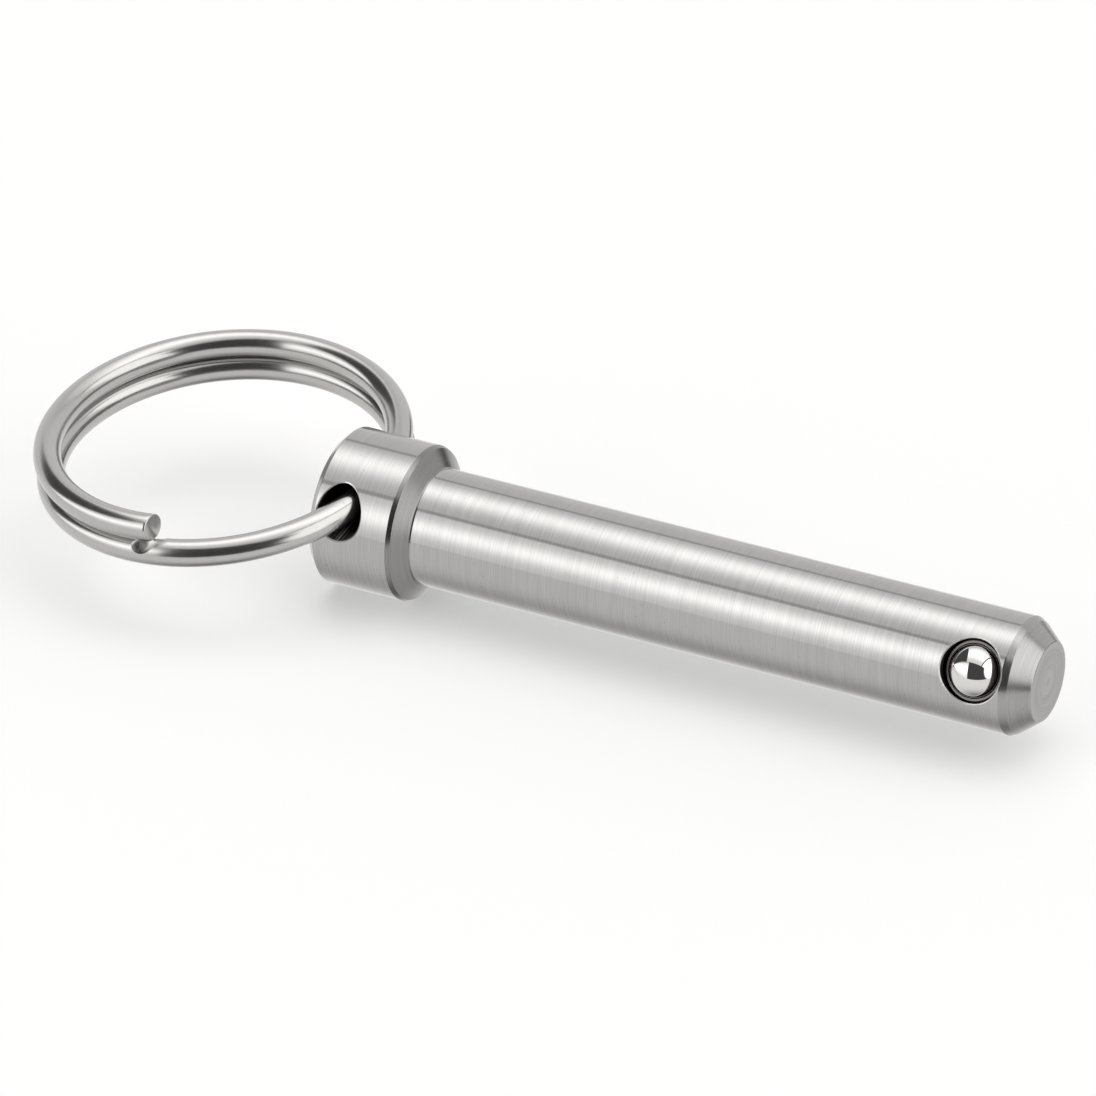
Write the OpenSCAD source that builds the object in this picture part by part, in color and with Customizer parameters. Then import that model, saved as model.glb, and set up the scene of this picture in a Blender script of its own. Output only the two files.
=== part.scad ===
// Ball lock pin: a turned steel pin whose sprung ball holds it in its hole,
// with a two-turn split ring through the head to pull it by.
// The pin lies along X with its tip at +X. The origin is on the pin's axis,
// where the shank meets the shoulder. Sizes are in millimetres.

/* [Shank] */
// Diameter of the shank
shank_d = 12; // [10:0.5:16]
// Length from the shoulder to the tip face
reach = 67; // [50:1:110]
// Length of the long cone at the tip
tip_cone_len = 1.95; // [1:0.05:4]
// Diameter of the flat tip face
tip_face_d = 8.06; // [6:0.02:9]
// Length of the narrow edge band behind the tip cone
tip_band_len = 0.65; // [0.3:0.05:1.5]
// How far the edge band drops below the shank's surface
tip_band_drop = 0.36; // [0.1:0.02:0.6]

/* [Head] */
// Diameter of the head
head_d = 16; // [15:0.5:22]
// Length of the head
head_len = 10.5; // [9.5:0.5:16]
// Chamfer round the end face of the head
head_chamfer = 0.7; // [0.3:0.1:0.9]
// Length of the bevel at the head's shoulder edge
shoulder_bevel_len = 0.43; // [0.2:0.01:0.8]
// How far the bevel drops below the head's surface
shoulder_bevel_drop = 0.22; // [0.1:0.01:0.5]
// Length of the conical shoulder that bears on the work
shoulder_cone_len = 1.21; // [0.6:0.01:2]
// Fillet between the shoulder and the shank
root_fillet_r = 0.3; // [0.1:0.05:0.5]

/* [Ring hole] */
// Distance from the head's end face to the hole's axis
hole_from_end = 3.35; // [3.3:0.05:5]
// Height of the hole's axis above the pin's axis
hole_rise = 4.1; // [2.5:0.1:4.4]
// Running clearance round the wire where it bends through the hole
hole_clearance = 0.02; // [0.01:0.01:0.1]

/* [Ball] */
// Diameter of the locking ball
ball_d = 5.5; // [4.5:0.1:6]
// Distance from the tip face to the ball's axis
ball_from_tip = 5.85; // [5.2:0.05:15]
// How far the ball stands out of the shank
ball_proud = 1; // [0.5:0.05:1.4]
// Angle of the ball's bore round the pin from the ring hole's front mouth
ball_turn = 32.5; // [20:0.5:70]
// Running clearance round the ball in its bore
ball_clearance = 0.04; // [0.02:0.01:0.1]
// Height of the retaining lip's underside above the ball's centre
lip_rise = 0.45; // [0.35:0.05:0.6]
// Thickness of the retaining lip
lip_t = 0.2; // [0.1:0.02:0.25]
// Gap between the retaining lip and the ball
lip_gap = 0.02; // [0.01:0.01:0.05]
// Wall of the staked collar round the ball's bore
collar_t = 0.15; // [0.1:0.01:0.2]
// Width of the open groove round the collar
groove_w = 0.25; // [0.1:0.01:0.3]
// Depth of the groove below the top of the collar
groove_depth = 0.8; // [0.3:0.1:1]
// Wall left under the spring at the far side of the shank
spring_wall = 3; // [2:0.1:3.6]

/* [Spring] */
// Diameter of the spring's wire
spring_wire_d = 0.5; // [0.3:0.05:0.6]
// Gap between the spring and the bore's wall
spring_side_gap = 0.25; // [0.1:0.05:0.5]
// Gap left at each end of the spring
spring_end_gap = 0.03; // [0.02:0.01:0.1]
// Number of turns from end to end
spring_turns = 5; // [4:0.5:6]
// Gap between the closed turns at each end of the spring
closed_gap = 0.03; // [0.02:0.01:0.1]

/* [Split ring] */
// Outside diameter of the split ring
ring_od = 38.2; // [34:0.2:60]
// Diameter of the ring's wire
wire_d = 2.8; // [2:0.1:3]
// Gap between the two turns of wire
coil_gap = 0.04; // [0.02:0.01:0.2]
// Angle from the head to the end of the upper turn, seen from above
upper_end_turn = 84; // [60:1:120]
// Angle that the wire covers from its upper end to its lower end
wire_turn = 601; // [550:1:610]
// Angle by which the upper end is cut out of square
end_slant = 14; // [0:1:25]
// Bevel round each cut end of the wire
wire_bevel = 0.15; // [0.05:0.01:0.3]
// Radius of the relief scooped out of the lower turn under the upper end
scoop_r = 1.2; // [0.6:0.05:1.3]
// Depth of the relief at its deepest
scoop_depth = 1; // [0.3:0.05:1.2]

/* [Lie] */
// How far the pin is rolled about its own axis as it lies
roll = 8.5; // [0:0.5:20]
// How far the ring's far end hangs below the level of its hole
ring_droop = 3; // [-10:1:15]

/* [Hidden] */

steel = "silver";
wire_steel = "lightgray";

round_fn = 96;
// sides of the ring's wire, and degrees between its sections
wire_sides = 20;
wire_step = 5;
// sides of the spring's wire, and sections in each turn
spring_sides = 8;
spring_step_count = 16;
fillet_steps = 5;
// turns at each end of the spring that lie closed
closed_turns = 1;
// the relief's place behind the upper end, and its slant across the wire
scoop_turn = 2;
scoop_slant = -26;
// how far a cutter runs past the surface that it cuts
over = 1;

shank_r = shank_d / 2;
head_r = head_d / 2;
shoulder_r = head_r - shoulder_bevel_drop;
tip_cone_x = reach - tip_cone_len;
tip_band_x = tip_cone_x - tip_band_len;
band_r = shank_r - tip_band_drop;

// fillet at the root of the shoulder, from the cone down to the shank
cone_angle = atan2(shoulder_r - shank_r, -shoulder_cone_len);
fillet_run = root_fillet_r / tan(cone_angle / 2);
fillet_points = [
    for (i = [0:fillet_steps])
        let (a = -90 - (180 - cone_angle) * (1 - i / fillet_steps))
        [fillet_run + root_fillet_r * cos(a), shank_r + root_fillet_r * (1 + sin(a))]
];

// the ball's bore, with distances measured from the pin's axis
ball_r = ball_d / 2;
ball_x = reach - ball_from_tip;
ball_out = shank_r + ball_proud - ball_r;
ball_bore_r = ball_r + ball_clearance;
lip_low = ball_out + lip_rise;
lip_high = lip_low + lip_t;
lip_r = sqrt(pow(ball_r, 2) - pow(lip_rise, 2)) + lip_gap;
collar_r = ball_bore_r + collar_t;
mouth_r = collar_r + groove_w;
groove_low = lip_high - groove_depth;
spring_floor = spring_wall - shank_r;

// the spring stands on the bore's floor and the ball nests in its last turn
spring_wire_r = spring_wire_d / 2;
spring_r = ball_bore_r - spring_side_gap - spring_wire_r;
spring_low = spring_floor + spring_wire_r + spring_end_gap;
nest_r = ball_r + spring_wire_r + spring_end_gap;
spring_high = ball_out - sqrt(pow(nest_r, 2) - pow(spring_r, 2));
spring_rise = spring_high - spring_low;
closed_pitch = spring_wire_d + closed_gap;
closed_rise = closed_turns * closed_pitch;
open_pitch = (spring_rise - 2 * closed_rise) / (spring_turns - 2 * closed_turns);

// the ring's wire winds down evenly, passing through the hole at mid level
wire_r = wire_d / 2;
ring_r = ring_od / 2 - wire_r;
level = wire_d + coil_gap;
lean = atan(level / (2 * PI * ring_r));
upper_end = -upper_end_turn;
lower_end = upper_end - wire_turn;

// The wire bends through the straight hole: it touches one wall at the middle
// and the other where the hole's lowest edge leaves the round head. The hole's
// radius and the length of that edge give one equation of the second degree.
hole_x = hole_from_end - head_len;
wire_room = wire_r + hole_clearance;
hole_b = 4 * (ring_r + wire_room) - 2 * hole_rise;
hole_c = 4 * ring_r * wire_room + pow(head_r, 2) - pow(hole_rise, 2);
hole_r = (hole_b - sqrt(pow(hole_b, 2) - 12 * hole_c)) / 6;
ring_shift = hole_r - wire_room;

function unit(v) = v / norm(v);

// height of the ring's wire at angle a, above the hole
function ring_z(a) = level * (a + 360) / 360;
// centre line of the ring at angle a, from its centre, and its direction
function ring_point(a) = [ring_r * cos(a), ring_r * sin(a), ring_z(a)];
function ring_tangent(a) = unit([ring_r * sin(a), -ring_r * cos(a), -level / (2 * PI)]);

// height of the spring's centre line after t turns, with closed end turns
function spring_z(t) =
    t < closed_turns ? closed_pitch * t
    : t > spring_turns - closed_turns ? spring_rise - closed_pitch * (spring_turns - t)
    : closed_rise + open_pitch * (t - closed_turns);
function spring_pitch(t) =
    t < closed_turns || t > spring_turns - closed_turns ? closed_pitch : open_pitch;
function spring_point(t) = [spring_r * cos(360 * t), spring_r * sin(360 * t), spring_z(t)];
function spring_tangent(t) =
    unit([-2 * PI * spring_r * sin(360 * t), 2 * PI * spring_r * cos(360 * t), spring_pitch(t)]);

// a ring of points of radius r round p, across the direction d or slanted to it
function section(p, d, out, r, sides, slant = 0) =
    let (side = cross(d, out), slope = out + tan(slant) * d)
    [for (i = [0:sides - 1]) p + r * (cos(360 * i / sides) * slope + sin(360 * i / sides) * side)];

// a closed tube through a list of sections
module tube(sections) {
    n = len(sections);
    s = len(sections[0]);
    polyhedron(
        points = [for (c = sections) for (p = c) p],
        faces = concat(
            [[for (i = [0:s - 1]) i]],
            [[for (i = [0:s - 1]) (n - 1) * s + s - 1 - i]],
            [
                for (k = [0:n - 2]) for (i = [0:s - 1])
                    [k * s + i, (k + 1) * s + i, (k + 1) * s + (i + 1) % s]
            ],
            [
                for (k = [0:n - 2]) for (i = [0:s - 1])
                    [k * s + i, (k + 1) * s + (i + 1) % s, k * s + (i + 1) % s]
            ]
        )
    );
}

// turns a profile of [x, radius] points about the pin's axis
module turned(profile) {
    rotate([0, 90, 0])
        rotate_extrude($fn = round_fn)
            polygon([for (p = profile) [p[1], p[0]]]);
}

// stands what is built along Z at the ball's bore, with Z pointing out of it
module at_ball() {
    translate([ball_x, 0, 0])
        rotate([roll - ball_turn, 0, 0])
            rotate([90, 0, 0])
                children();
}

// lays what is built round the ring hole's centre, with Y along the hole
module at_hole() {
    rotate([roll, 0, 0])
        translate([hole_x, 0, hole_rise])
            children();
}

// a plain round cutter along Z from one height to another
module drill(r, low, high) {
    translate([0, 0, low])
        cylinder(r = r, h = high - low, $fn = round_fn);
}

module pin_blank() {
    turned(concat(
        [
            [-head_len, 0],
            [-head_len, head_r - head_chamfer],
            [head_chamfer - head_len, head_r],
            [-shoulder_cone_len - shoulder_bevel_len, head_r],
            [-shoulder_cone_len, shoulder_r]
        ],
        fillet_points,
        [
            [tip_band_x, shank_r],
            [tip_cone_x, band_r],
            [reach, tip_face_d / 2],
            [reach, 0]
        ]
    ));
}

module pin_body() {
    color(steel)
        difference() {
            pin_blank();
            at_hole()
                rotate([90, 0, 0])
                    cylinder(r = hole_r, h = head_d + 2 * over, center = true, $fn = round_fn);
            at_ball() {
                drill(ball_bore_r, spring_floor, lip_low);
                drill(lip_r, lip_low - lip_t, lip_high + lip_t);
                drill(mouth_r, lip_high, shank_r + over);
                difference() {
                    drill(mouth_r, groove_low, shank_r);
                    drill(collar_r, groove_low - over, shank_r + over);
                }
            }
        }
}

module ball() {
    color(steel)
        at_ball()
            translate([0, 0, ball_out])
                sphere(r = ball_r, $fn = round_fn);
}

module ball_spring() {
    color(wire_steel)
        at_ball()
            translate([0, 0, spring_low])
                tube([
                    for (i = [0:spring_step_count * spring_turns])
                        let (t = i / spring_step_count)
                        section(
                            spring_point(t), spring_tangent(t),
                            [cos(360 * t), sin(360 * t), 0],
                            spring_wire_r, spring_sides
                        )
                ]);
}

// one section of the ring's wire at angle a
function wire_section(a, r, slant = 0) =
    section(ring_point(a), ring_tangent(a), [cos(a), sin(a), 0], r, wire_sides, slant);

module ring_wire() {
    bevel_turn = wire_bevel / ring_r * 180 / PI;
    steps = ceil(wire_turn / wire_step);
    first = upper_end - bevel_turn;
    last = lower_end + bevel_turn;
    tube(concat(
        [wire_section(upper_end, wire_r - wire_bevel, end_slant)],
        [wire_section(first, wire_r, end_slant)],
        [for (i = [1:steps]) wire_section(first + (last - first) * i / steps, wire_r)],
        [wire_section(lower_end, wire_r - wire_bevel)]
    ));
}

// round cutter lying across the lower turn, under the end of the upper turn
module scoop() {
    turn = upper_end - scoop_turn;
    rotate([0, 0, turn])
        translate([ring_r, 0, ring_z(turn - 360) + wire_r - scoop_depth + scoop_r])
            rotate([0, 90, scoop_slant])
                cylinder(r = scoop_r, h = wire_d + 4 * over, center = true, $fn = round_fn);
}

module split_ring() {
    color(wire_steel)
        at_hole()
            rotate([0, -ring_droop, 0])
                rotate([-lean, 0, 0])
                    translate([ring_shift - ring_r, 0, 0])
                        difference() {
                            ring_wire();
                            scoop();
                        }
}

pin_body();
ball();
ball_spring();
split_ring();
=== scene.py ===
"""Looks of a ball lock pin: turned steel pin, mirror ball and polished split ring in a white studio."""

import logging
import math
from dataclasses import dataclass
from enum import Enum
from typing import Sequence, Union

import bmesh
import bpy
from mathutils import Matrix, Vector


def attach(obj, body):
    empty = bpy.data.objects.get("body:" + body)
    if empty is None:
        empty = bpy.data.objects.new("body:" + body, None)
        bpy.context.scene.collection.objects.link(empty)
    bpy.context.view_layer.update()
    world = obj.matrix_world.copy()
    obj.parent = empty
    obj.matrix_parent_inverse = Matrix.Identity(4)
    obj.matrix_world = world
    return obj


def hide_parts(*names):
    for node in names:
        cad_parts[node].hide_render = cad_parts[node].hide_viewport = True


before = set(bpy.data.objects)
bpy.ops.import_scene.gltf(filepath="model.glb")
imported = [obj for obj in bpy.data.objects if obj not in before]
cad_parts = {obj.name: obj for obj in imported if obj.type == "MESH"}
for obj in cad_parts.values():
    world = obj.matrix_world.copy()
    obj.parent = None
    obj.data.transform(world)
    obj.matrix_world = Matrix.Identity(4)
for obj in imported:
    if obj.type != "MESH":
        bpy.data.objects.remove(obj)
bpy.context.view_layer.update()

log = logging.getLogger("ball_lock_pin")
MM = 0.001
Point = tuple[float, float, float]


class Side(Enum):
    """The two ends of the ring hole, as the way that each faces across the pin."""

    FRONT = 1
    BACK = -1


class Depth(Enum):
    """How the depth of a place in a bore is told."""

    FROM_AXIS = "distance from the pin's axis"
    ALONG_BORE = "height along the bore"


# --------------------------------------------------------------------------
# Shader maths
# --------------------------------------------------------------------------

Number = Union[int, float]


class Sock:
    """A node socket that Python operators can work on."""

    def __init__(self, tree: bpy.types.NodeTree, socket: bpy.types.NodeSocket) -> None:
        """Wraps one output socket.

        Args:
            tree: The node tree that the socket belongs to.
            socket: The output socket.
        """
        self.tree = tree
        self.socket = socket

    def _math(self, operation: str, *others: Union["Sock", Number]) -> "Sock":
        """Adds a Math node that starts from this socket.

        Args:
            operation: The Math node's operation.
            others: The values or sockets that follow this one.

        Returns:
            The node's output.
        """
        return Nodes(self.tree).math(operation, self, *others)

    def __add__(self, other: Union["Sock", Number]) -> "Sock":
        """Adds."""
        return self._math("ADD", other)

    __radd__ = __add__

    def __mul__(self, other: Union["Sock", Number]) -> "Sock":
        """Multiplies."""
        return self._math("MULTIPLY", other)

    __rmul__ = __mul__

    def __sub__(self, other: Union["Sock", Number]) -> "Sock":
        """Subtracts."""
        return self._math("SUBTRACT", other)

    def __rsub__(self, other: Number) -> "Sock":
        """Subtracts this socket from a number."""
        return Nodes(self.tree).math("SUBTRACT", other, self)

    def __truediv__(self, other: Union["Sock", Number]) -> "Sock":
        """Divides."""
        return self._math("DIVIDE", other)

    def __pow__(self, other: Number) -> "Sock":
        """Raises to a power."""
        return self._math("POWER", other)


class Nodes:
    """Adds nodes to one tree."""

    def __init__(self, tree: bpy.types.NodeTree) -> None:
        """Keeps the tree that nodes are added to.

        Args:
            tree: The node tree.
        """
        self.tree = tree

    def add(self, kind: str, settings: dict | None = None, **inputs: object) -> bpy.types.Node:
        """Adds one node.

        Args:
            kind: The node's type, such as ShaderNodeMath.
            settings: Properties set before the sockets, such as operation.
            inputs: Socket name, with _ for a space, or iN for socket number N, to a value or a Sock.

        Returns:
            The new node.
        """
        node = self.tree.nodes.new(kind)
        for name, value in (settings or {}).items():
            setattr(node, name, value)
        for name, value in inputs.items():
            key = int(name[1:]) if name[0] == "i" and name[1:].isdigit() else name.replace("_", " ")
            if isinstance(value, Sock):
                self.tree.links.new(value.socket, node.inputs[key])
            else:
                node.inputs[key].default_value = value
        return node

    def out(self, node: bpy.types.Node, name: Union[str, int] = 0) -> Sock:
        """Wraps a node's output."""
        return Sock(self.tree, node.outputs[name])

    def math(self, operation: str, *values: Union[Sock, Number]) -> Sock:
        """Adds a Math node.

        Args:
            operation: The Math node's operation.
            values: One or two values or sockets.

        Returns:
            The node's output.
        """
        sockets = {f"i{i}": value for i, value in enumerate(values)}
        return self.out(self.add("ShaderNodeMath", {"operation": operation}, **sockets))

    def vector(self, operation: str, *values: object, out: Union[str, int] = 0) -> Sock:
        """Adds a Vector Math node.

        Args:
            operation: The Vector Math node's operation.
            values: One or two vectors or sockets.
            out: The output that is used.

        Returns:
            The node's output.
        """
        sockets = {f"i{i}": value for i, value in enumerate(values)}
        return self.out(self.add("ShaderNodeVectorMath", {"operation": operation}, **sockets), out)

    def object_place(self) -> Sock:
        """Gives the place on the object, in metres."""
        return self.out(self.add("ShaderNodeTexCoord"), "Object")

    def split(self, vector: Sock) -> tuple[Sock, Sock, Sock]:
        """Splits a vector into its x, y and z."""
        parts = self.add("ShaderNodeSeparateXYZ", i0=vector)
        return self.out(parts, 0), self.out(parts, 1), self.out(parts, 2)

    def specks(self, place: Sock, scale: float) -> Sock:
        """Makes sparse soft specks.

        Args:
            place: The place on the object.
            scale: The noise's scale.

        Returns:
            1 in a speck and 0 beside it.
        """
        noise = self.add("ShaderNodeTexNoise", Vector=place, Scale=scale, Detail=2.0, Roughness=0.5)
        return self.step(self.out(noise), 0.7, 0.78)

    def between(self, value: Sock, low: float, high: float) -> Sock:
        """Gives 1 where a value lies between two others and 0 elsewhere."""
        return self.math("GREATER_THAN", value, low) * self.math("LESS_THAN", value, high)

    def finish(self, shader: bpy.types.Node, kind: str = "ShaderNodeOutputMaterial") -> None:
        """Joins a shader to the tree's output."""
        out = self.add(kind)
        self.tree.links.new(shader.outputs[0], out.inputs[0])

    def step(self, value: Sock, low: float, high: float) -> Sock:
        """Rises smoothly from 0 to 1.

        Args:
            value: What is read.
            low: The value at which the rise starts.
            high: The value at which it ends.

        Returns:
            The rise.
        """
        node = self.add(
            "ShaderNodeMapRange", {"interpolation_type": "SMOOTHSTEP"},
            Value=value, From_Min=low, From_Max=high, To_Min=0.0, To_Max=1.0,
        )
        return self.out(node)


# --------------------------------------------------------------------------
# Finishes
# --------------------------------------------------------------------------

# how far a bore's mask reaches past its wall, in millimetres
MASK_MARGIN = 0.012


@dataclass(frozen=True)
class Bore:
    """A round bore whose wall is painted with shade that darkens inwards.

    Attributes:
        point: A point on the bore's axis, in millimetres.
        direction: The way out of the bore.
        radius: The bore's radius, in millimetres.
        depth: How depth is told for dark and pale.
        dark: Depth at which the wall's painted shade is darkest, in millimetres.
        pale: Depth at which the wall's painted shade is palest, in millimetres.
        edge: Width of the broken edge round the mouth, which carries a painted highlight, in millimetres.
        floor: Lowest height along the bore that belongs to it, in millimetres.
        collar_r: Outer radius of a staked collar, which gets painted light, or 0 for none, in millimetres.
    """

    point: Point
    direction: Point
    radius: float
    depth: Depth
    dark: float
    pale: float
    edge: float
    floor: float = -20.0
    collar_r: float = 0.0

    def offset(self, nodes: Nodes, place: Sock) -> Sock:
        """Gives the place, in metres, as seen from the bore's own point."""
        return nodes.vector("SUBTRACT", place, tuple(value * MM for value in self.point))

    def height(self, nodes: Nodes, place: Sock) -> Sock:
        """Gives the height of a place along the bore, in metres."""
        return nodes.vector("DOT_PRODUCT", self.offset(nodes, place), self.direction, out="Value")

    def within(self, nodes: Nodes, place: Sock, radius: float) -> Sock:
        """Marks what lies within a radius of the bore's axis.

        Args:
            nodes: The material's nodes.
            place: The place on the object, in metres.
            radius: The radius in millimetres.

        Returns:
            1 inside the radius and 0 outside it.
        """
        away = nodes.vector(
            "LENGTH", nodes.vector("CROSS_PRODUCT", self.offset(nodes, place), self.direction), out="Value",
        )
        above = nodes.math("GREATER_THAN", self.height(nodes, place), self.floor * MM)
        return nodes.math("LESS_THAN", away, (radius + MASK_MARGIN) * MM) * above

    def shade(self, nodes: Nodes, place: Sock, radius: Sock) -> Sock:
        """Gives the rise of the painted shade, from 0 deep in the bore to 1 at its mouth.

        Args:
            nodes: The material's nodes.
            place: The place on the object, in metres.
            radius: Distance from the pin's axis, in metres.

        Returns:
            The rise.
        """
        depth = self.height(nodes, place) if self.depth is Depth.ALONG_BORE else radius
        return nodes.step(depth, self.dark * MM, self.pale * MM)


@dataclass(frozen=True)
class Facet:
    """A stretch of the pin, from low to high along it in millimetres, that was turned more coarsely and so is
    rougher, and whose colour is darkened as painted shade.
    """

    low: float
    high: float
    painted_shade_factor: float


@dataclass(frozen=True)
class TurnedSteel:
    """Steel as a lathe and an abrasive belt leave it, with fine marks round its axis, painted shade in its
    bores and on some facets, painted light on the collar and a painted highlight round each mouth.

    Levels, gains and tones are grey levels of the base colour. Blurs are added to the roughness.
    """

    bores: tuple[Bore, ...]
    name: str = "turned_steel"
    level: float = 0.44
    warmth: float = 0.012
    roughness: float = 0.09
    marks_per_mm: float = 11.0
    marks_length_mm: float = 7.0
    marks_depth: float = 0.09
    broad_across: float = 0.15
    broad_along: float = 0.6
    fine_tone: float = 0.5
    broad_tone: float = 0.22
    speck_tone: float = 0.25
    speck_scale: float = 2600.0
    marks_blur: float = 0.06
    # painted shade deep in the bores and lighter at their mouths, with its brown tint
    bore_shade_level: float = 0.015
    bore_shade_brown: float = 0.004
    bore_blur: float = 0.3
    mouth_shade_level: float = 0.22
    mouth_shade_brown: float = 0.012
    # painted light on the collar in the ball's bore, over the painted shade round it
    collar_light_level: float = 0.13
    # painted highlight on the broken edge round each bore's mouth
    rim_highlight_gain: float = 0.4
    edge_blur: float = 0.3
    # the shoulder and the tip's cone and edge are rougher, and their colour is darkened as painted shade
    facets: tuple[Facet, ...] = (Facet(-1.66, 0.1, 0.6), Facet(64.38, 66.94, 0.85), Facet(66.94, 67.1, 0.8))
    facet_blur: float = 0.14
    face_x: float = 66.97
    disc_tone: float = 0.7

    def marks(self, nodes: Nodes, place: Sock, radius: Sock, fine: float, long: float) -> Sock:
        """Makes noise that is drawn out round the pin's axis.

        Args:
            nodes: The material's nodes.
            place: The place on the object, in metres.
            radius: Distance from the pin's axis, in metres.
            fine: Marks in a metre along the pin.
            long: Marks in a metre round the pin.

        Returns:
            The noise, about 0.5 on average.
        """
        x, y, z = nodes.split(place)
        grain = nodes.out(nodes.add("ShaderNodeCombineXYZ", X=x * fine, Y=radius * fine, Z=y * long))
        return nodes.out(nodes.add(
            "ShaderNodeTexNoise", {"noise_dimensions": "4D"},
            Vector=grain, W=z * long, Scale=1.0, Detail=4.0, Roughness=0.62,
        ))

    def make(self) -> bpy.types.Material:
        """Builds the material.

        Returns:
            The new material.
        """
        material, nodes = blank_material(self.name)
        place = nodes.object_place()
        x, y, z = nodes.split(place)
        radius = nodes.math("SQRT", y * y + z * z)
        across = self.marks_per_mm / MM
        along = 1.0 / (self.marks_length_mm * MM)
        fine = self.marks(nodes, place, radius, across, along)
        broad = self.marks(nodes, place, radius, across * self.broad_across, along * self.broad_along)
        speck = nodes.specks(place, self.speck_scale)
        tone = (fine - 0.5) * self.fine_tone + (broad - 0.5) * self.broad_tone + 1.0 - speck * self.speck_tone

        # painted shade in the bores: dark deep inside, lighter towards each mouth
        masks = [bore.within(nodes, place, bore.radius) for bore in self.bores]
        inside = nodes.math("MAXIMUM", *masks)
        rise = sum(mask * bore.shade(nodes, place, radius) for mask, bore in zip(masks, self.bores))
        # the broken edge round each mouth, which gets a painted highlight
        rings = [bore.within(nodes, place, bore.radius + bore.edge) for bore in self.bores]
        edge = nodes.math("MAXIMUM", *rings) - inside
        # the collar in the ball's bore, which gets painted light
        collar = sum(bore.within(nodes, place, bore.collar_r) for bore in self.bores if bore.collar_r)

        # the facets, whose colour is darkened as painted shade
        stretches = [nodes.between(x, facet.low * MM, facet.high * MM) for facet in self.facets]
        painted_shade_factor = 1.0 - sum(mask * (1.0 - facet.painted_shade_factor) for mask, facet in zip(stretches, self.facets))
        disc = nodes.math("GREATER_THAN", x, self.face_x * MM)

        grey = (tone + disc * (broad - 0.5) * self.disc_tone) * painted_shade_factor * self.level * (1.0 - inside)
        # painted shade in the bores and painted light on the collar
        grey = grey + inside * self.bore_shade_level + rise * self.mouth_shade_level + collar * self.collar_light_level
        # painted highlight on the rims
        grey = grey + edge * self.rim_highlight_gain
        # brown tint of the painted shade in the bores
        painted_shade_brown = inside * (rise + collar) * self.mouth_shade_brown + inside * self.bore_shade_brown
        colour = nodes.out(nodes.add(
            "ShaderNodeCombineColor", Red=grey * (1.0 + self.warmth) + painted_shade_brown,
            Green=grey, Blue=grey * (1.0 - self.warmth),
        ))
        blur = inside * self.bore_blur + edge * self.edge_blur + sum(stretches) * self.facet_blur
        bump = nodes.out(nodes.add(
            "ShaderNodeBump", Strength=self.marks_depth, Distance=0.01 * MM, Height=fine + broad * 0.5,
        ))
        nodes.finish(nodes.add(
            "ShaderNodeBsdfPrincipled", Base_Color=colour, Metallic=1.0,
            Roughness=(fine - 0.5) * self.marks_blur + self.roughness + blur, Normal=bump,
        ))
        return material


@dataclass(frozen=True)
class PolishedSteel:
    """Steel polished until it mirrors, with a faint mottle."""

    name: str
    level: float
    roughness: float
    mottle: float
    cloud_scale: float = 900.0
    cloud_blur: float = 0.04
    speck_scale: float = 2400.0
    red: float = 1.012
    blue: float = 0.98

    def make(self) -> bpy.types.Material:
        """Builds the material.

        Returns:
            The new material.
        """
        material, nodes = blank_material(self.name)
        place = nodes.object_place()
        cloud = nodes.out(nodes.add(
            "ShaderNodeTexNoise", Vector=place, Scale=self.cloud_scale, Detail=4.0, Roughness=0.6,
        ))
        speck = nodes.specks(place, self.speck_scale)
        grey = ((cloud - 0.5) * self.mottle + 1.0 - speck * self.mottle * 2.0) * self.level
        colour = nodes.out(nodes.add(
            "ShaderNodeCombineColor", Red=grey * self.red, Green=grey, Blue=grey * self.blue,
        ))
        nodes.finish(nodes.add(
            "ShaderNodeBsdfPrincipled", Base_Color=colour, Metallic=1.0,
            Roughness=(cloud - 0.5) * self.cloud_blur + self.roughness,
        ))
        return material


def blank_material(name: str) -> tuple[bpy.types.Material, Nodes]:
    """Makes a material with an empty node tree.

    Args:
        name: The material's name.

    Returns:
        The material and its nodes.
    """
    material = bpy.data.materials.new(name)
    material.use_nodes = True
    material.node_tree.nodes.clear()
    return material, Nodes(material.node_tree)


# --------------------------------------------------------------------------
# Making meshes
# --------------------------------------------------------------------------

# how close two points count as one, in the mesh's own unit
MERGE = 1e-6
AXIS_X = (1.0, 0.0, 0.0)
AXIS_Z = (0.0, 0.0, 1.0)


def outward(mesh: bmesh.types.BMesh) -> None:
    """Turns the faces of a closed shape outwards."""
    bmesh.ops.recalc_face_normals(mesh, faces=mesh.faces)
    if mesh.calc_volume(signed=True) < 0:
        bmesh.ops.reverse_faces(mesh, faces=mesh.faces)


def new_object(name: str, mesh: bmesh.types.BMesh, material: bpy.types.Material) -> bpy.types.Object:
    """Turns a bmesh into an object at the origin.

    Args:
        name: The object's name.
        mesh: The bmesh, which is freed.
        material: The object's material.

    Returns:
        The new object.
    """
    data = bpy.data.meshes.new(name)
    mesh.to_mesh(data)
    mesh.free()
    data.materials.append(material)
    for face in data.polygons:
        face.use_smooth = True
    piece = bpy.data.objects.new(name, data)
    bpy.context.scene.collection.objects.link(piece)
    return piece


def to_metres(piece: bpy.types.Object) -> None:
    """Brings a piece made in millimetres to metres."""
    piece.data.transform(Matrix.Scale(MM, 4))


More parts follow.
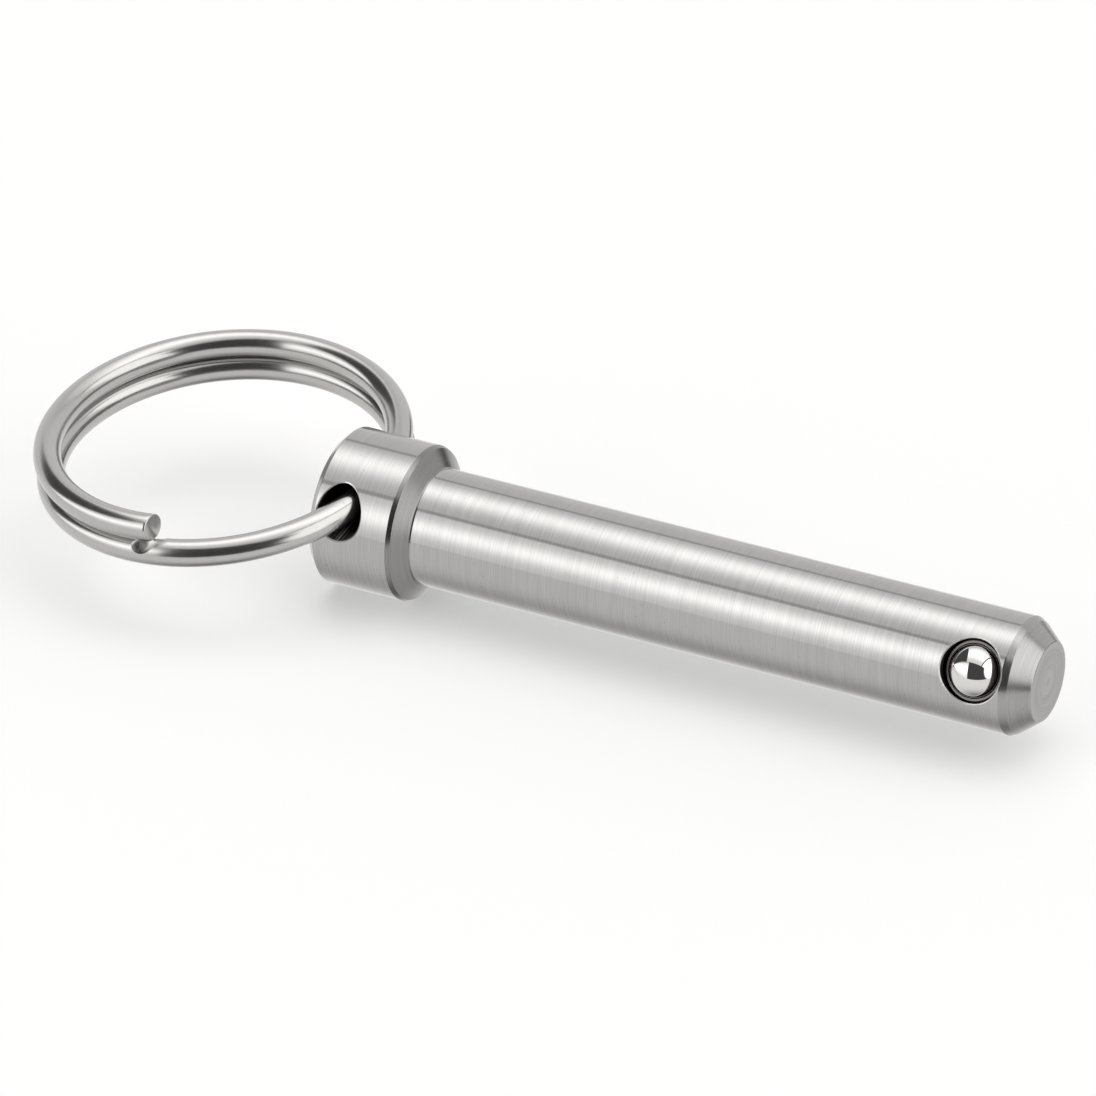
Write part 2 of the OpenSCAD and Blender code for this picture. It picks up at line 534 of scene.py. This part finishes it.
def cut(piece: bpy.types.Object, cutter: bmesh.types.BMesh) -> None:
    """Cuts a closed shape out of a piece and keeps the result as its mesh.

    Args:
        piece: The piece that is cut.
        cutter: The shape that is taken away, which is freed.
    """
    tool = new_object("cutter", cutter, piece.data.materials[0])
    boolean = piece.modifiers.new("cut", "BOOLEAN")
    boolean.operation = "DIFFERENCE"
    boolean.solver = "EXACT"
    boolean.object = tool
    bpy.context.view_layer.update()
    graph = bpy.context.evaluated_depsgraph_get()
    result = bpy.data.meshes.new_from_object(piece.evaluated_get(graph))
    piece.modifiers.clear()
    old = piece.data
    piece.data = result
    bpy.data.meshes.remove(old)
    bpy.data.meshes.remove(tool.data)


def spun(points: Sequence[Point], axis: Point, steps: int, closed: bool = False) -> bmesh.types.BMesh:
    """Turns a line of points about an axis through the origin into a closed solid.

    Args:
        points: The line's points in millimetres, in one plane with the axis.
        axis: The axis.
        steps: How many steps make the full turn.
        closed: Whether the last point joins the first. Otherwise both lie on the axis.

    Returns:
        The solid, in millimetres.
    """
    mesh = bmesh.new()
    corners = [mesh.verts.new(point) for point in points]
    after = corners[1:] + corners[:1] if closed else corners[1:]
    edges = [mesh.edges.new(pair) for pair in zip(corners, after)]
    bmesh.ops.spin(
        mesh, geom=corners + edges, cent=(0, 0, 0), axis=axis,
        angle=2 * math.pi, steps=steps, use_merge=True, dvec=(0, 0, 0),
    )
    bmesh.ops.remove_doubles(mesh, verts=mesh.verts, dist=MERGE)
    outward(mesh)
    return mesh


def edge_broken(corners: Sequence[Point], steps: int = 3) -> list[Point]:
    """Rounds the corners of a turned outline.

    Args:
        corners: Place along the pin, radius, and the distance from the corner at which its
            rounding starts, which is 0 for a corner that stays as it is, in millimetres.
        steps: How many steps make each rounding.

    Returns:
        The outline's points, in the plane of X and Z.
    """
    sharp = [Vector((x, 0.0, radius)) for x, radius, _ in corners]
    result: list[Point] = []
    for i, (here, (_, _, start)) in enumerate(zip(sharp, corners)):
        if not start:
            result.append(tuple(here))
            continue
        before = here + (sharp[i - 1] - here).normalized() * start
        after = here + (sharp[i + 1] - here).normalized() * start
        for k in range(steps + 1):
            t = k / steps
            result.append(tuple(before * (1 - t) ** 2 + here * (2 * t * (1 - t)) + after * t * t))
    return result


# --------------------------------------------------------------------------
# The pin
# --------------------------------------------------------------------------


@dataclass
class Lie:
    """How the pin's holes stand round its axis, in degrees and millimetres."""

    roll: float = 8.5
    ball_turn: float = 32.5
    ball_x: float = 61.15
    hole_x: float = -7.15
    hole_rise: float = 4.1

    def at_ball(self) -> Matrix:
        """Gives the place of the ball's bore, with Z pointing out of it, in millimetres."""
        turn = Matrix.Rotation(math.radians(self.roll - self.ball_turn), 4, "X")
        return Matrix.Translation((self.ball_x, 0, 0)) @ turn @ Matrix.Rotation(math.radians(90), 4, "X")

    def at_hole(self) -> Matrix:
        """Gives the place of the ring hole's middle, with Y along the hole, in millimetres."""
        turn = Matrix.Rotation(math.radians(self.roll), 4, "X")
        return turn @ Matrix.Translation((self.hole_x, 0, self.hole_rise))


def quarter_turn(side: Side) -> Matrix:
    """Turns Z to face out of one end of the ring hole."""
    return Matrix.Rotation(math.radians(90 * side.value), 4, "X")


@dataclass
class Pin:
    """The turned pin with its ring hole and the stepped bore of its ball, in millimetres."""

    lie: Lie
    shank_r: float = 6.0
    reach: float = 67.0
    tip_cone_len: float = 1.95
    tip_face_r: float = 4.03
    band_len: float = 0.65
    band_r: float = 5.64
    head_r: float = 8.0
    head_len: float = 10.5
    head_chamfer: float = 0.7
    bevel_len: float = 0.43
    shoulder_r: float = 7.78
    shoulder_len: float = 1.21
    root_fillet: float = 0.3
    hole_r: float = 2.42107
    mouth_break: float = 0.13
    edge_break: float = 0.06
    shoulder_break: float = 0.05
    face_break: float = 0.08
    ball_zone: float = 5.0
    # how the painted shade in the ring hole and the ball's bore darkens inwards
    hole_fade: float = 3.2
    wall_dark: float = 0.25
    wall_pale: float = 0.45
    bore_r: float = 2.79
    bore_floor: float = -3.0
    lip_low: float = 4.7
    lip_high: float = 4.9
    lip_r: float = 2.733
    collar_r: float = 2.94
    mouth_r: float = 3.19
    groove_low: float = 4.1
    overlap: float = 0.1
    clear: float = 1.0
    flare_inset: float = 0.05
    flare_reach: float = 0.35
    steps: int = 240
    drill_steps: int = 128
    flare_steps: int = 151
    sharp_angle: float = 28.0
    turned_slack: float = 0.02

    def outline(self) -> list[Point]:
        """Gives the pin's outline with each edge slightly broken.

        Returns:
            The outline's points, in millimetres, in the plane of X and Z.
        """
        band_x = self.reach - self.tip_cone_len - self.band_len
        return edge_broken([
            (-self.head_len, 0.0, 0.0),
            (-self.head_len, self.head_r - self.head_chamfer, self.edge_break),
            (self.head_chamfer - self.head_len, self.head_r, self.edge_break),
            (-self.shoulder_len - self.bevel_len, self.head_r, self.edge_break),
            (-self.shoulder_len, self.shoulder_r, self.shoulder_break),
            (0.0, self.shank_r, self.root_fillet / 2),
            (self.lie.ball_x - self.ball_zone, self.shank_r, 0.0),
            (band_x, self.shank_r, self.edge_break),
            (self.reach - self.tip_cone_len, self.band_r, self.edge_break),
            (self.reach, self.tip_face_r, self.face_break),
            (self.reach, 0.0, 0.0),
        ])

    def drill(self, place: Matrix, rings: Sequence[tuple[float, float]]) -> bmesh.types.BMesh:
        """Makes a round cutter along Z from rings of radius and height.

        Args:
            place: Where the cutter stands, in millimetres.
            rings: Pairs of radius and height in millimetres, from the bottom up.

        Returns:
            The cutter, in millimetres.
        """
        levels = [(0.0, rings[0][1]), *rings, (0.0, rings[-1][1])]
        mesh = spun([(radius, 0.0, height) for radius, height in levels], AXIS_Z, self.drill_steps)
        bmesh.ops.transform(mesh, matrix=place, verts=mesh.verts)
        return mesh

    def groove(self, place: Matrix) -> bmesh.types.BMesh:
        """Makes the ring-shaped cutter of the staked groove round the collar.

        Args:
            place: Where the ball's bore stands, in millimetres.

        Returns:
            The cutter, in millimetres.
        """
        top = self.lip_high + self.overlap
        mesh = spun([
            (self.collar_r, 0.0, self.groove_low), (self.mouth_r, 0.0, self.groove_low),
            (self.mouth_r, 0.0, top), (self.collar_r, 0.0, top),
        ], AXIS_Z, self.drill_steps, closed=True)
        bmesh.ops.transform(mesh, matrix=place, verts=mesh.verts)
        return mesh

    def flare(self, place: Matrix, r: float, surface_r: float, rise: float) -> bmesh.types.BMesh:
        """Makes a cutter that breaks a bore's rim evenly where it meets a round surface.

        Args:
            place: Where the bore stands, with Z along it and the round surface's axis across it.
            r: The bore's radius in millimetres.
            surface_r: The round surface's radius in millimetres.
            rise: How far the bore's axis passes beside the round surface's axis, in millimetres.

        Returns:
            The cutter, in millimetres.
        """
        mesh = bmesh.new()
        low, high = -self.flare_inset, self.flare_reach
        loops = []
        for grow, lift in ((low, low - self.mouth_break), (high, high - self.mouth_break), (high, None)):
            loop = bmesh.ops.create_circle(mesh, cap_ends=False, radius=r + grow, segments=self.flare_steps)
            for point in loop["verts"]:
                surface = math.sqrt(surface_r ** 2 - (point.co.y + rise) ** 2)
                point.co.z = surface_r + self.clear if lift is None else surface + lift
            loops.append(set(loop["verts"]))
        rims = list(mesh.edges)
        for lower, upper in zip(loops, loops[1:]):
            pair = [edge for edge in rims if set(edge.verts) <= lower or set(edge.verts) <= upper]
            bmesh.ops.bridge_loops(mesh, edges=pair)
        bmesh.ops.holes_fill(mesh, edges=[edge for edge in mesh.edges if edge.is_boundary])
        bmesh.ops.transform(mesh, matrix=place, verts=mesh.verts)
        bmesh.ops.triangulate(mesh, faces=mesh.faces)
        outward(mesh)
        return mesh

    def finish(self) -> TurnedSteel:
        """Gives the pin's finish, with painted shade inside its bores, painted light on the collar and a
        painted highlight round each mouth.

        Returns:
            The finish.
        """
        hole, seat = self.lie.at_hole(), self.lie.at_ball()
        return TurnedSteel((
            Bore(
                tuple(hole.translation), tuple(hole.col[1].xyz), self.hole_r, Depth.FROM_AXIS,
                dark=self.head_r - self.hole_fade, pale=self.head_r, edge=self.mouth_break,
            ),
            Bore(
                tuple(seat.translation), tuple(seat.col[2].xyz), self.mouth_r, Depth.ALONG_BORE,
                dark=self.lip_high - self.wall_dark, pale=self.lip_high + self.wall_pale,
                edge=self.mouth_break, floor=self.bore_floor - self.overlap, collar_r=self.collar_r,
            ),
        ))

    def build(self) -> bpy.types.Object:
        """Builds the pin and dresses it.

        Returns:
            The pin.
        """
        pin = new_object("turned_pin", spun(self.outline(), AXIS_X, self.steps), self.finish().make())
        reach = self.head_r + self.clear
        over = self.shank_r + self.clear
        hole, seat = self.lie.at_hole(), self.lie.at_ball()
        for side in Side:
            place = hole @ quarter_turn(side)
            cut(pin, self.flare(place, self.hole_r, self.head_r, self.lie.hole_rise * side.value))
        cut(pin, self.flare(seat, self.mouth_r, self.shank_r, 0.0))
        cut(pin, self.drill(hole @ quarter_turn(Side.FRONT), [(self.hole_r, -reach), (self.hole_r, reach)]))
        cut(pin, self.drill(seat, [
            (self.bore_r, self.bore_floor), (self.bore_r, self.lip_low),
            (self.lip_r, self.lip_low), (self.lip_r, self.lip_high),
            (self.mouth_r, self.lip_high), (self.mouth_r, over),
        ]))
        cut(pin, self.groove(seat))
        to_metres(pin)
        self.true_normals(pin)
        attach(pin, "pin")
        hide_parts("pin_body")
        return pin

    def true_normals(self, pin: bpy.types.Object) -> None:
        """Gives each face that was turned on the lathe its exact round normals.

        Args:
            pin: The pin, in metres.
        """
        data = pin.data
        data.set_sharp_from_angle(angle=math.radians(self.sharp_angle))
        normals = []
        for face in data.polygons:
            out = Vector((0.0, face.center.y, face.center.z)).normalized()
            side = Vector(AXIS_X).cross(out)
            turned = abs(face.normal.dot(side)) < self.turned_slack
            for corner in face.loop_indices:
                point = data.vertices[data.loops[corner].vertex_index].co
                around = Vector((0.0, point.y, point.z))
                if turned and around.length > MERGE:
                    spread = face.normal.dot(out)
                    normals.append(Vector((face.normal.x, 0.0, 0.0)) + around.normalized() * spread)
                else:
                    normals.append(data.corner_normals[corner].vector.copy())
        data.normals_split_custom_set([n.normalized() for n in normals])


@dataclass
class Ball:
    """The locking ball, in millimetres."""

    lie: Lie
    radius: float = 2.75
    out: float = 4.25
    finish: PolishedSteel = PolishedSteel("mirror_ball", level=0.72, roughness=0.03, mottle=0.01)

    def build(self) -> bpy.types.Object:
        """Builds the ball and dresses it.

        Returns:
            The ball.
        """
        mesh = bmesh.new()
        place = self.lie.at_ball() @ Matrix.Translation((0, 0, self.out))
        bmesh.ops.create_icosphere(mesh, subdivisions=6, radius=self.radius, matrix=place)
        bmesh.ops.scale(mesh, vec=(MM, MM, MM), verts=mesh.verts)
        ball = new_object("locking_ball", mesh, self.finish.make())
        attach(ball, "locking_ball")
        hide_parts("ball")
        return ball


@dataclass
class SplitRing:
    """The two-turn wire ring through the head, in millimetres and degrees."""

    lie: Lie
    finish: PolishedSteel = PolishedSteel("polished_wire", level=0.5, roughness=0.2, mottle=0.1)
    ring_r: float = 17.7
    wire_r: float = 1.4
    shift: float = 1.00107
    level: float = 2.84
    droop: float = 3.0
    upper_end: float = -84.0
    wire_turn: float = 601.0
    step: float = 1.5
    sides: int = 48
    end_slant: float = 14.0
    end_bevel: float = 0.15
    scoop_r: float = 1.2
    scoop_depth: float = 1.0
    scoop_turn: float = 2.0
    scoop_slant: float = -26.0
    scoop_over: float = 0.02
    scoop_past: float = 2.0
    scoop_sides: int = 96
    sharp_angle: float = 35.0

    def lean(self) -> float:
        """Gives the slope of the winding, in radians."""
        return math.atan(self.level / (2 * math.pi * self.ring_r))

    def height(self, angle: float) -> float:
        """Gives the wire's height over the hole at an angle."""
        return self.level * (angle + 360.0) / 360.0

    def place(self) -> Matrix:
        """Gives the place of the ring's own axes, in millimetres."""
        droop = Matrix.Rotation(math.radians(-self.droop), 4, "Y")
        lean = Matrix.Rotation(-self.lean(), 4, "X")
        return self.lie.at_hole() @ droop @ lean @ Matrix.Translation((self.shift - self.ring_r, 0, 0))

    def build(self) -> bpy.types.Object:
        """Builds the ring and dresses it.

        Returns:
            The ring.
        """
        mesh = bmesh.new()
        steps = round(self.wire_turn / self.step)
        turned = Matrix.Rotation(math.radians(self.upper_end), 4, "Z")
        start = (
            Matrix.Translation((0, 0, self.height(self.upper_end))) @ turned
            @ Matrix.Translation((self.ring_r, 0, 0))
        )
        upright = start @ Matrix.Rotation(math.radians(90) + self.lean(), 4, "X")
        bmesh.ops.create_circle(mesh, cap_ends=True, radius=self.wire_r, segments=self.sides, matrix=upright)
        first = list(mesh.faces)
        first_points = list(mesh.verts)
        bmesh.ops.spin(
            mesh, geom=first + list(mesh.edges) + first_points, cent=(0, 0, 0), axis=(0, 0, 1),
            angle=-math.radians(self.wire_turn), steps=steps, use_merge=False,
            dvec=(0, 0, -self.level * self.wire_turn / 360.0 / steps),
        )
        slant = Matrix.Identity(4)
        slant[2][0] = math.tan(math.radians(self.end_slant))
        bmesh.ops.transform(mesh, matrix=upright @ slant @ upright.inverted(), verts=first_points)
        outward(mesh)
        rims = [edge for face in mesh.faces if len(face.verts) > 4 for edge in face.edges]
        bmesh.ops.bevel(
            mesh, geom=rims, offset=self.end_bevel, offset_type="OFFSET", segments=3,
            profile=0.5, affect="EDGES", material=-1,
        )
        bmesh.ops.transform(mesh, matrix=self.place(), verts=mesh.verts)
        ring = new_object("split_wire_ring", mesh, self.finish.make())
        cut(ring, self.scoop())
        to_metres(ring)
        ring.data.set_sharp_from_angle(angle=math.radians(self.sharp_angle))
        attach(ring, "ring")
        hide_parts("split_ring")
        return ring

    def scoop(self) -> bmesh.types.BMesh:
        """Makes the round cutter that relieves the lower turn under the upper end.

        Returns:
            The cutter, in millimetres.
        """
        mesh = bmesh.new()
        turn = self.upper_end - self.scoop_turn
        top = self.height(turn - 360.0) + self.wire_r
        turned = Matrix.Rotation(math.radians(turn), 4, "Z")
        local = (
            turned @ Matrix.Translation((self.ring_r, 0, top - self.scoop_depth + self.scoop_r))
            @ Matrix.Rotation(math.radians(self.scoop_slant), 4, "Z")
            @ Matrix.Rotation(math.radians(90), 4, "Y")
        )
        bmesh.ops.create_cone(
            mesh, cap_ends=True, segments=self.scoop_sides, radius1=self.scoop_r, radius2=self.scoop_r,
            depth=2 * self.wire_r + self.scoop_past, matrix=local,
        )
        ceiling = turned @ Vector((self.ring_r, 0, top + self.scoop_over))
        up = turned.to_3x3() @ Matrix.Rotation(-self.lean(), 3, "X") @ Vector(AXIS_Z)
        bmesh.ops.bisect_plane(
            mesh, geom=list(mesh.verts) + list(mesh.edges) + list(mesh.faces), dist=MERGE,
            plane_co=ceiling, plane_no=up, clear_outer=True,
        )
        bmesh.ops.holes_fill(mesh, edges=[edge for edge in mesh.edges if edge.is_boundary])
        bmesh.ops.transform(mesh, matrix=self.place(), verts=mesh.verts)
        outward(mesh)
        return mesh


@dataclass
class Spring:
    """The coil spring under the ball, which keeps its own solid."""

    finish: PolishedSteel = PolishedSteel("spring_wire", level=0.45, roughness=0.25, mottle=0.08)

    def dress(self) -> None:
        """Gives the spring's solid its finish."""
        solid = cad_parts["ball_spring"]
        solid.data.materials.clear()
        solid.data.materials.append(self.finish.make())


# --------------------------------------------------------------------------
# Studio
# --------------------------------------------------------------------------


@dataclass(frozen=True)
class Panel:
    """A long light panel that is brightest along one line and falls off on both sides like a bell.

    Attributes:
        level: Brightness far from the bright line.
        gain: How much brighter the bright line is.
        at: Angle of the bright line round the pin, in degrees.
        spread: Distance from the line at which about a third of the gain is left, in degrees.
    """

    level: float
    gain: float
    at: float
    spread: float

    def light(self, nodes: Nodes, turn: Sock) -> Sock:
        """Gives the panel's brightness at an angle round the pin."""
        away = (turn - self.at) / self.spread
        return nodes.math("EXPONENT", away * away * -1.0) * self.gain + self.level


@dataclass(frozen=True)
class Seam:
    """A dim line between two panels, by the angle round the pin, with its softness, in degrees."""

    start: float
    end: float
    soft: float

    def mask(self, nodes: Nodes, turn: Sock) -> Sock:
        """Gives 1 in the line and 0 beside it."""
        past_end = nodes.step(turn, self.end - self.soft, self.end)
        return nodes.step(turn, self.start, self.start + self.soft) * (1.0 - past_end)


@dataclass(frozen=True)
class PanelEdge:
    """The edge of a light panel: its x by the angle round the pin, in degrees, and its softness."""

    x: float
    slope: float
    at: float = 0.0
    soft: float = 0.02

    def past(self, nodes: Nodes, x: Sock, turn: Sock) -> Sock:
        """Rises from 0 to 1 across the edge.

        Args:
            nodes: The world's nodes.
            x: The direction's x.
            turn: The angle round the pin, in degrees.

        Returns:
            The rise.
        """
        return nodes.step(x - ((turn - self.at) * self.slope + self.x), -self.soft, self.soft)


@dataclass
class Studio:
    """White floor, soft light from all round and the camera.

    Lengths are in metres and the lens in millimetres. Angles are in degrees, and those of the light
    go round the pin from the level front over the top. Levels are brightnesses.
    """

    floor_z: float = -8.0 * MM
    floor_size: float = 6.0
    aim: Point = (12.47 * MM, 0.0, 0.786 * MM)
    distance: float = 0.9936
    turn: float = 27.27
    rise: float = 29.48
    lens: float = 329.5
    paper: float = 0.85
    paper_seen: float = 0.99
    glow: float = 0.36
    front_panel: Panel = Panel(level=1.01, gain=1.06, at=24.0, spread=16.0)
    above_panel: Panel = Panel(level=0.79, gain=1.24, at=100.0, spread=19.5)
    back_level: float = 0.88
    foot: tuple[float, float] = (-12.0, -7.0)
    foot_level: float = 0.7
    seams: tuple[Seam, ...] = (Seam(51.5, 59.5, soft=2.0), Seam(132.0, 138.0, soft=1.0))
    seam_level: float = 0.5
    side_level: float = 1.7
    gap_level: float = 0.07
    ground_level: float = 0.93
    ground_fall: float = 0.7
    horizon: tuple[float, float] = (-0.17, -0.15)
    front_end: tuple[float, float] = (56.0, 59.0)
    back_start: tuple[float, float] = (135.0, 138.0)
    front_left: PanelEdge = PanelEdge(-0.235, -0.0015)
    front_right: PanelEdge = PanelEdge(0.86, -0.0022, soft=0.04)
    above_left: PanelEdge = PanelEdge(-0.5, -0.0017, at=62.0)
    above_end: tuple[float, float] = (0.52, 0.55)
    side_start: tuple[float, float] = (0.58, 0.61)
    tint: tuple[float, float] = (0.996, 0.985)

    def camera(self) -> None:
        """Adds the camera."""
        data = bpy.data.cameras.new("camera")
        data.lens = self.lens
        data.sensor_width = 36.0
        data.clip_start = 0.01
        data.clip_end = 50.0
        camera = bpy.data.objects.new("camera", data)
        bpy.context.scene.collection.objects.link(camera)
        a, e = math.radians(self.turn), math.radians(self.rise)
        away = Vector((math.sin(a) * math.cos(e), -math.cos(a) * math.cos(e), math.sin(e)))
        camera.location = Vector(self.aim) + away * self.distance
        camera.rotation_euler = away.to_track_quat("Z", "Y").to_euler()
        bpy.context.scene.camera = camera

    def floor(self) -> None:
        """Adds the white floor, which keeps the pin's soft shadow."""
        mesh = bmesh.new()
        bmesh.ops.create_grid(mesh, x_segments=1, y_segments=1, size=self.floor_size / 2)
        bmesh.ops.translate(mesh, vec=(0, 0, self.floor_z), verts=mesh.verts)
        material, nodes = blank_material("white_floor")
        seen = nodes.out(nodes.add("ShaderNodeLightPath"), "Is Camera Ray")
        white = seen * (self.paper_seen - self.paper) + self.paper
        colour = nodes.out(nodes.add("ShaderNodeCombineColor", Red=white, Green=white, Blue=white))
        paper = nodes.add("ShaderNodeBsdfDiffuse", Color=colour)
        glow = nodes.add("ShaderNodeEmission", Strength=1.0)
        nodes.finish(nodes.add(
            "ShaderNodeMixShader", Fac=seen * self.glow, i1=nodes.out(paper), i2=nodes.out(glow),
        ))
        floor = new_object("floor", mesh, material)
        floor.visible_glossy = False

    def sky(self) -> None:
        """Makes the soft light: three long panels over a pale ground, with dark gaps between them."""
        world = bpy.data.worlds.new("studio")
        bpy.context.scene.world = world
        world.use_nodes = True
        world.node_tree.nodes.clear()
        nodes = Nodes(world.node_tree)
        way = nodes.out(nodes.add("ShaderNodeTexCoord"), "Generated")
        x, y, z = nodes.split(way)
        turn = nodes.math("ARCTAN2", z, y * -1.0) * (180.0 / math.pi)
        front = 1.0 - nodes.step(turn, *self.front_end)
        back = nodes.step(turn, *self.back_start)
        above = (1.0 - front) * (1.0 - back)
        foot = nodes.step(turn, *self.foot) * (1.0 - self.foot_level) + self.foot_level
        bright = self.front_panel.light(nodes, turn) * foot * front + back * self.back_level
        bright = bright + self.above_panel.light(nodes, turn) * above
        seam = sum(line.mask(nodes, turn) for line in self.seams)
        panel = bright * (1.0 - seam) + seam * self.seam_level

        left = 1.0 - self.front_left.past(nodes, x, turn)
        right = self.front_right.past(nodes, x, turn)
        top = self.above_left.past(nodes, x, turn) * (1.0 - nodes.step(x, *self.above_end))
        side = nodes.step(x, *self.side_start)

        lit = panel * (front * left + above * top + back)
        lit_side = (front * right + above * side) * self.side_level
        upper = lit + lit_side + (1.0 - back) * self.gap_level
        ground = (1.0 - (z * z) ** 4 * self.ground_fall) * self.ground_level
        over = nodes.step(z, *self.horizon)
        light = upper * over + ground * (1.0 - over)
        green, blue = self.tint
        colour = nodes.out(nodes.add(
            "ShaderNodeCombineColor", Red=light, Green=light * green, Blue=light * blue,
        ))
        nodes.finish(nodes.add("ShaderNodeBackground", Color=colour, Strength=1.0), "ShaderNodeOutputWorld")

    def build(self) -> None:
        """Sets up the whole studio."""
        scene = bpy.context.scene
        scene.view_settings.view_transform = "Standard"
        self.camera()
        self.floor()
        self.sky()


def main() -> None:
    """Builds every piece in order."""
    logging.basicConfig(level=logging.INFO, format="%(message)s")
    Studio().build()
    lie = Lie()
    for maker in (Pin(lie), Ball(lie), SplitRing(lie)):
        piece = maker.build()
        log.info("%s: %d faces", piece.name, len(piece.data.polygons))
    Spring().dress()
    log.info("ball_spring: dressed")


if __name__ == "__main__":
    main()
